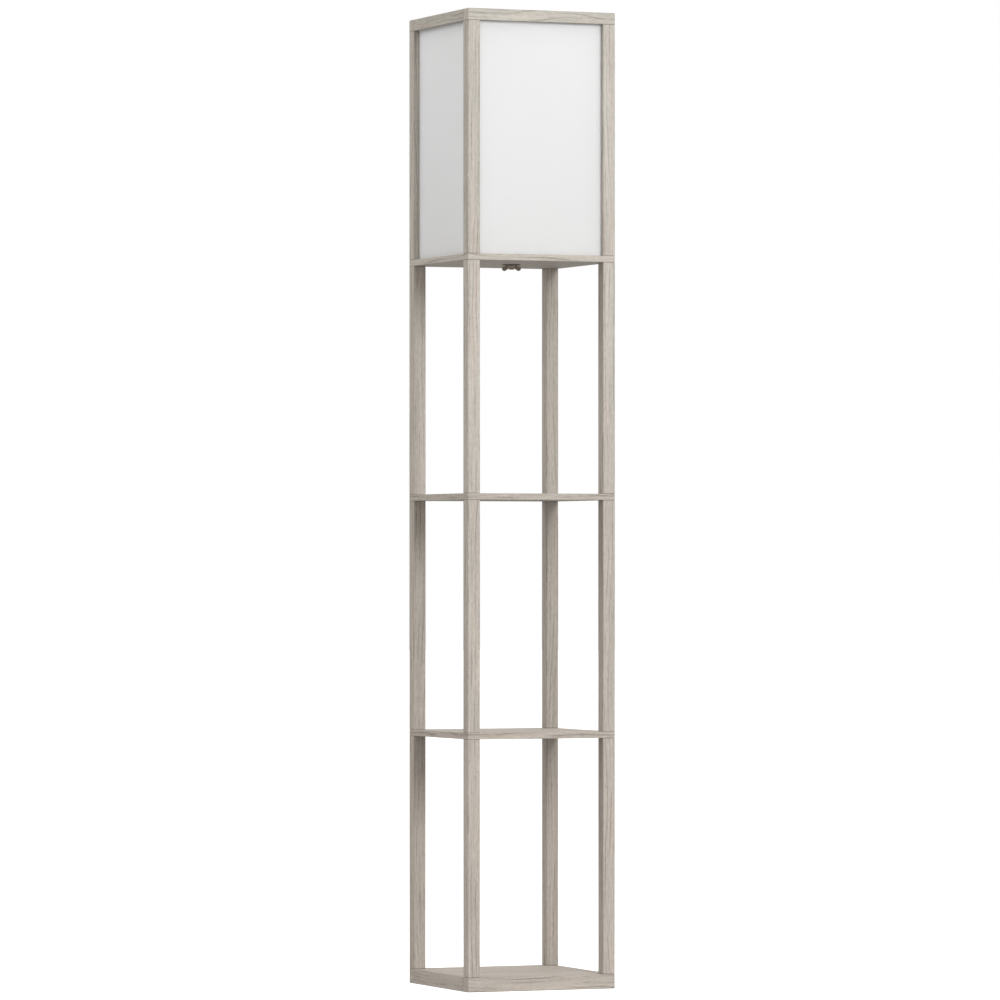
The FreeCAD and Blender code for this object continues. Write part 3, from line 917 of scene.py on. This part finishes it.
@dataclass
class ClampSet:
    """Threaded tube, wing nut and washers that clamp the lampholder to its board."""

    metal: Metal = Metal(linear(158, 151, 141), 0.5, linear(118, 111, 102), dullness=0.7, metallic=0.85)
    washer_metal: Metal = Metal(linear(120, 116, 110), 0.42, linear(86, 81, 76))
    pitch: float = 1.0 * MM
    thread_depth: float = 0.42 * MM
    thread_steps: int = 28
    run_out: float = 0.75
    bore: float = 3.5 * MM
    hub: float = 7.0 * MM
    hub_seat: float = 9.0 * MM
    hub_rim: float = 1.0 * MM
    hub_round: float = 0.7 * MM
    hub_height: float = 5.5 * MM
    nut_bore: float = 5.08 * MM
    ear: float = 4.0 * MM
    ear_out: float = 11.7 * MM
    ear_drop: float = 5.45 * MM
    root: float = 2.5 * MM
    root_out: float = 5.6 * MM
    root_drop: float = 2.7 * MM
    blade: float = 2.6 * MM
    turn: float = math.radians(-24.0)
    casting_voxel: float = 0.3 * MM

    def build(self) -> list[Object]:
        """Make the tube and the nut, and dress the washers.

        Returns:
            The new objects.
        """
        finish = self.metal.material("clamp_metal")
        dress(["seat_washer", "nut_washer"], self.washer_metal.material("washer_metal"))
        return [self._tube(finish), self._nut(finish)]

    def _tube(self, finish: Material) -> Object:
        """Make the hollow tube with its thread.

        Args:
            finish: Its material.

        Returns:
            The tube.
        """
        low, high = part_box("threaded_tube")
        depth = self.thread_depth
        root = high.x - depth
        profile = [
            (self.bore, low.z),
            (root - depth, low.z),
            (root, low.z + depth),
            (root, high.z - depth),
            (root - depth, high.z),
            (self.bore, high.z),
        ]
        tube = turned("clamp_tube", profile, segments=48)
        values = {
            "Crest": high.x,
            "Depth": depth,
            "Pitch": self.pitch,
            "Turns": (high.z - low.z) / self.pitch - 2 * self.run_out,
            "Foot": low.z + self.run_out * self.pitch,
            "Steps": self.thread_steps,
            "Finish": finish,
        }
        ThreadTree().apply(tube, values)
        return stand_in(tube, "threaded_tube", "tower")

    def _nut(self, finish: Material) -> Object:
        """Make the cast wing nut: a hub with two round ears, blended as a casting is.

        Args:
            finish: Its material.

        Returns:
            The nut.
        """
        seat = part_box("wing_nut")[1].z
        foot = seat - self.hub_height
        profile = [
            (self.nut_bore, seat),
            (self.hub_seat, seat),
            (self.hub_seat, seat - self.hub_rim),
            (self.hub, foot + self.hub_round),
            (self.hub - self.hub_round, foot),
            (self.nut_bore, foot),
        ]
        nut = turned("clamp_wing_nut", profile, segments=72)
        ears = bmesh.new()
        ears.from_mesh(nut.data)
        for side in (0.0, math.pi):
            self._ear(ears, seat, Matrix.Rotation(self.turn + side, 4, "Z"))
        ears.to_mesh(nut.data)
        ears.free()
        remesh = nut.modifiers.new("casting", "REMESH")
        remesh.mode = "VOXEL"
        remesh.voxel_size = self.casting_voxel
        smooth = nut.modifiers.new("fettling", "SMOOTH")
        smooth.factor = 0.5
        smooth.iterations = 4
        settle(nut)
        nut.data.shade_smooth()
        nut.data.materials.append(finish)
        return stand_in(nut, "wing_nut", "wing_nut")

    def _ear(self, built: bmesh.types.BMesh, seat: float, turn: Matrix) -> None:
        """Add one ear: two circles joined by their common tangents, as thick as the blade.

        Args:
            built: Mesh to add it to.
            seat: Height of the nut's bearing face.
            turn: Rotation about the nut's axis.
        """
        run = math.hypot(self.ear_out - self.root_out, self.ear_drop - self.root_drop)
        heading = math.atan2(self.root_drop - self.ear_drop, self.ear_out - self.root_out)
        spread = math.acos((self.root - self.ear) / run)
        over, under = math.degrees(heading + spread), math.degrees(heading - spread)
        tip = arc((self.ear_out, -self.ear_drop), self.ear, over, under, 24)
        base = arc((self.root_out, -self.root_drop), self.root, under, over - 360.0, 12)
        layers = []
        for depth in (-self.blade / 2, self.blade / 2):
            layers.append([built.verts.new(turn @ Vector((x, depth, seat + z))) for x, z in tip + base])
        front, back = layers
        faces = [built.faces.new(front), built.faces.new(back[::-1])]
        for index in range(len(front)):
            faces.append(built.faces.new([front[index - 1], back[index - 1], back[index], front[index]]))
        bmesh.ops.recalc_face_normals(built, faces=faces)


@dataclass
class Fixings:
    """Studs, inserts, bolts, washers and dowels of the timber's joints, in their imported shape."""

    bright: Colour = linear(196, 199, 202)
    dull: Colour = linear(150, 152, 152)
    thread_pitch: float = 1.0 * MM

    def build(self) -> list[str]:
        """Dress the fixings.

        Returns:
            Names of the dressed nodes.
        """
        zinc = Metal(self.bright, 0.32, self.dull)
        thread = Metal(self.bright, 0.34, self.dull, thread_pitch=self.thread_pitch)
        cast = Metal(linear(178, 178, 172), 0.5, linear(120, 120, 116))
        finishes = {
            "zinc_steel": (zinc, ["base_bolts", "base_washers"]),
            "zinc_thread": (thread, ["board_studs"]),
            "insert_zinc": (cast, ["post_inserts"]),
            "dowel_wood": (TurnedBeech(), ["rail_pins", "frame_dowels", "rail_dowels"]),
        }
        return dress_all(finishes)


@dataclass
class Lampholder:
    """Lampholder on the tube: cap, sleeve, core, terminals, screw shell and contact."""

    plastic: Moulding = Moulding(linear(222, 220, 214), linear(208, 205, 197), 0.38)
    ceramic: Moulding = Moulding(linear(226, 223, 214), linear(214, 209, 197), 0.2, coat=0.6)
    brass: Metal = Metal(linear(206, 176, 110), 0.3, linear(150, 122, 70))
    nickel: Metal = Metal(linear(200, 198, 192), 0.3, linear(160, 156, 148))

    def build(self) -> list[str]:
        """Dress the holder.

        Returns:
            Names of the dressed nodes.
        """
        finishes = {
            "holder_plastic": (self.plastic, ["holder_cap", "holder_sleeve"]),
            "holder_ceramic": (self.ceramic, ["holder_core"]),
            "contact_brass": (self.brass, ["holder_terminals", "holder_contact"]),
            "shell_metal": (self.nickel, ["holder_screw_shell"]),
        }
        return dress_all(finishes)


@dataclass
class Bulb:
    """Screw-cap bulb: tip, insulator, threaded cap, housing, light board and opal globe."""

    cap_pitch: float = 3.629 * MM
    cap_depth: float = 0.85 * MM
    cap_wall: float = 0.5 * MM
    cap_lead: float = 0.8 * MM
    cap_bare: float = 1.0 * MM
    cap_steps: int = 48
    collar: float = 14.0 * MM
    collar_height: float = 3.5 * MM
    collar_round: float = 0.6 * MM
    plug_fit: float = 0.6 * MM
    rim_bevel: float = 0.4 * MM
    swell_steps: int = 18
    swell_line: float = 0.75
    board_fit: float = 0.1 * MM
    chips: int = 12
    chip_ring: float = 0.62
    chip_side: float = 3.0 * MM
    chip_rise: float = 0.5 * MM
    globe_wall: float = 1.4 * MM

    def build(self) -> list[str | Object]:
        """Make the bulb's shaped pieces and dress the rest.

        Returns:
            The new objects and the names of the dressed nodes.
        """
        glass = Moulding(linear(30, 30, 34), linear(22, 22, 26), 0.12, coat=0.8)
        solder = Metal(linear(170, 170, 168), 0.42, linear(130, 130, 128))
        finishes = {"insulator_glass": (glass, ["bulb_insulator"]), "tip_metal": (solder, ["bulb_tip"])}
        dressed = dress_all(finishes)
        return dressed + [self._cap(), self._housing(), self._light_board(), self._globe()]

    def _cap(self) -> Object:
        """Make the screw cap: a thin shell with a rolled thread.

        Returns:
            The cap.
        """
        low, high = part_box("bulb_cap")
        root = high.x - self.cap_depth
        inside = root - self.cap_wall
        profile = [(inside, low.z), (root - 0.2 * MM, low.z), (root, low.z + 0.4 * MM)]
        profile += [(root, high.z), (inside, high.z)]
        cap = turned("bulb_screw_cap", profile)
        finish = Metal(linear(208, 206, 200), 0.26, linear(170, 166, 158)).material("cap_metal")
        values = {
            "Crest": high.x,
            "Depth": self.cap_depth,
            "Pitch": self.cap_pitch,
            "Turns": (high.z - low.z - 2 * self.cap_depth - self.cap_bare) / self.cap_pitch,
            "Foot": low.z + self.cap_depth + self.cap_lead,
            "Steps": self.cap_steps,
            "Finish": finish,
        }
        ThreadTree().apply(cap, values)
        return stand_in(cap, "bulb_cap", "bulb")

    def _housing(self) -> Object:
        """Make the tapered housing that swells from the cap to the globe.

        Returns:
            The housing.
        """
        low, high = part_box("bulb_housing")
        cap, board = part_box("bulb_cap")[1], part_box("bulb_light_board")
        plug = cap.x - self.cap_depth - self.plug_fit
        shelf, lip = cap.z + self.collar_height, high.z - self.rim_bevel
        seat, floor = board[1].x + self.board_fit, board[0].z
        corner = self.collar_round
        profile = [(0.0, low.z), (plug, low.z), (plug, cap.z)]
        profile += arc((self.collar - corner, cap.z + corner), corner, -90, 0, 4)
        for step in range(self.swell_steps + 1):
            share = step / self.swell_steps
            eased = (1 - math.cos(math.pi * share)) / 2
            swell = self.swell_line * share + (1 - self.swell_line) * eased
            profile.append((self.collar + (high.x - self.collar) * swell, shelf + (lip - shelf) * share))
        profile += [(high.x - self.rim_bevel, high.z), (seat, high.z), (seat, floor), (0.0, floor)]
        housing = turned("bulb_body", profile)
        plastic = Moulding(linear(222, 222, 217), linear(212, 211, 205), 0.34)
        housing.data.materials.append(plastic.material("bulb_plastic"))
        return stand_in(housing, "bulb_housing", "bulb")

    def _light_board(self) -> Object:
        """Make the round board with its ring of light chips.

        Returns:
            The board.
        """
        low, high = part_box("bulb_light_board")
        top = high.z - self.chip_rise
        edge = high.x
        board = turned("bulb_chip_board", [(0.0, low.z), (edge, low.z), (edge, top), (0.0, top)])
        finish = Moulding(linear(238, 240, 238), linear(220, 224, 222), 0.4).material("light_board")
        values = {
            "Count": self.chips,
            "Ring": edge * self.chip_ring,
            "Level": top + 0.4 * self.chip_rise,
            "Chip": self.chip_side,
            "Rise": self.chip_rise,
            "Finish": finish,
        }
        ChipRingTree().apply(board, values)
        return stand_in(board, "bulb_light_board", "bulb")

    def _globe(self) -> Object:
        """Make the opal dome over the light board.

        Returns:
            The globe.
        """
        low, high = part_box("bulb_globe")
        radius, inner = high.x, high.x - self.globe_wall
        centre = high.z - radius
        start = math.degrees(math.asin((low.z - centre) / radius))
        back = math.degrees(math.asin((low.z - centre) / inner))
        outside = arc((0.0, centre), radius, start, 90.0, 22)
        inside = arc((0.0, centre), inner, 90.0, back, 14)
        outside[-1], inside[0] = (0.0, high.z), (0.0, centre + inner)
        globe = turned("bulb_dome", outside + inside, segments=72)
        opal = Moulding(linear(230, 230, 226), linear(223, 223, 217), 0.3, grain=260.0)
        globe.data.materials.append(opal.material("globe_opal"))
        return stand_in(globe, "bulb_globe", "bulb")


@dataclass(frozen=True)
class FloorPaint(Finish):
    """Near-white paint of the studio's floor, which gives off some light."""

    low: Colour = linear(246, 246, 246)
    high: Colour = linear(250, 250, 250)
    glow: float = 0.5

    def shader(self, graph: NodeGraph) -> Node:
        """Give the floor its even, faintly clouded white.

        Args:
            graph: The material's graph.

        Returns:
            The shader.
        """
        mist = graph.noise(graph.vector(*graph.place()))
        return graph.principled(
            {
                "Base Color": graph.blend(mist, self.low, self.high),
                "Roughness": 0.9,
                "Specular IOR Level": 0.0,
                "Emission Color": (1.0, 1.0, 1.0, 1.0),
                "Emission Strength": self.glow,
            }
        )


@dataclass(frozen=True)
class Softbox:
    """One square area lamp."""

    name: str
    place: tuple[float, float, float]
    side: float
    power: float
    aim: tuple[float, float, float] = (0.0, 0.0, 0.85)

    def add(self) -> None:
        """Hang the lamp in the scene, turned to its aim."""
        data = bpy.data.lights.new(self.name, "AREA")
        data.size = self.side
        data.energy = self.power
        light = bpy.data.objects.new(self.name, data)
        light.location = self.place
        light.rotation_euler = (Vector(self.aim) - Vector(self.place)).to_track_quat("-Z", "Y").to_euler()
        bpy.context.scene.collection.objects.link(light)


@dataclass
class Studio:
    """Pale floor, white surroundings, large soft lamps and the camera at the photograph's angle.

    The key lamp is at the front, a weaker one high at the left and the weakest overhead.
    """

    eye: tuple[float, float, float] = (-3.9441, -9.5373, 0.6966)
    heading: float = 0.3903
    focal_pixels: float = 6248.8
    horizon_row: float = 563.8
    frame_pixels: float = 1000.0
    sensor: float = 36.0
    lamps: tuple[Softbox, ...] = (
        Softbox("key_light", (0.7, -6.0, 3.1), 2.4, 262.0),
        Softbox("fill_light", (-3.6, 0.7, 3.6), 2.2, 53.0),
        Softbox("top_light", (0.3, 0.6, 4.2), 2.6, 18.0),
    )
    sky_tint: Colour = (1.0, 0.965, 0.925)
    sky_level: float = 0.55
    sky_rise: float = 0.52
    floor_radius: float = 40.0
    floor_drop: float = 0.2 * MM

    def build(self) -> None:
        """Make the floor, the world, the lamps and the camera."""
        self._floor()
        self._world()
        for lamp in self.lamps:
            lamp.add()
        self._camera()
        bpy.context.scene.view_settings.view_transform = "Standard"

    def _camera(self) -> None:
        """Level camera; the photograph's framing is its vertical shift."""
        data = bpy.data.cameras.new("photo_camera")
        data.sensor_width = self.sensor
        data.sensor_fit = "HORIZONTAL"
        data.lens = self.focal_pixels * self.sensor / self.frame_pixels
        data.shift_y = (self.horizon_row - self.frame_pixels / 2) / self.frame_pixels
        data.clip_end = 100.0
        camera = bpy.data.objects.new("photo_camera", data)
        camera.location = self.eye
        camera.rotation_euler = (math.pi / 2, 0.0, -self.heading)
        bpy.context.scene.collection.objects.link(camera)
        bpy.context.scene.camera = camera

    def _world(self) -> None:
        """White surroundings to look at; soft light from above, little from below."""
        world = bpy.data.worlds.new("studio")
        bpy.context.scene.world = world
        world.use_nodes = True
        graph = NodeGraph(world.node_tree)
        direction = graph.node("ShaderNodeTexCoord").outputs["Generated"]
        height = graph.node("ShaderNodeSeparateXYZ", {0: direction}).outputs[2]
        level = Signal(graph, height).above(0.05, 0.95) * self.sky_rise + self.sky_level
        lit = graph.node("ShaderNodeBackground", {"Color": (*self.sky_tint, 1.0), "Strength": level})
        seen = graph.node("ShaderNodeBackground", {"Color": (1.0, 1.0, 1.0, 1.0), "Strength": 1.0})
        path = graph.node("ShaderNodeLightPath").outputs["Is Camera Ray"]
        both = graph.node("ShaderNodeMixShader", {0: path, 1: lit, 2: seen})
        graph.node("ShaderNodeOutputWorld", {"Surface": both})

    def _floor(self) -> None:
        """Wide pale floor, just under the base; no light from it reaches the lamp."""
        built = bmesh.new()
        bmesh.ops.create_circle(built, cap_ends=True, segments=96, radius=self.floor_radius)
        bmesh.ops.translate(built, verts=built.verts, vec=(0.0, 0.0, -self.floor_drop))
        floor = mesh_object("studio_floor", built)
        floor.data.materials.append(FloorPaint().material("floor_paint"))
        floor.visible_diffuse = False
        floor.visible_glossy = False


def main() -> None:
    """Build the lamp's looks, sub-assembly by sub-assembly, and the studio round it."""
    logging.basicConfig(level=logging.INFO, format="%(message)s")
    for part in (Tower(), Fixings(), ClampSet(), Lampholder(), Bulb(), Shade()):
        pieces = part.build()
        for piece in pieces:
            LOG.info("%s: %s", type(part).__name__, piece if isinstance(piece, str) else piece.name)
    Studio().build()


if __name__ == "__main__":
    main()
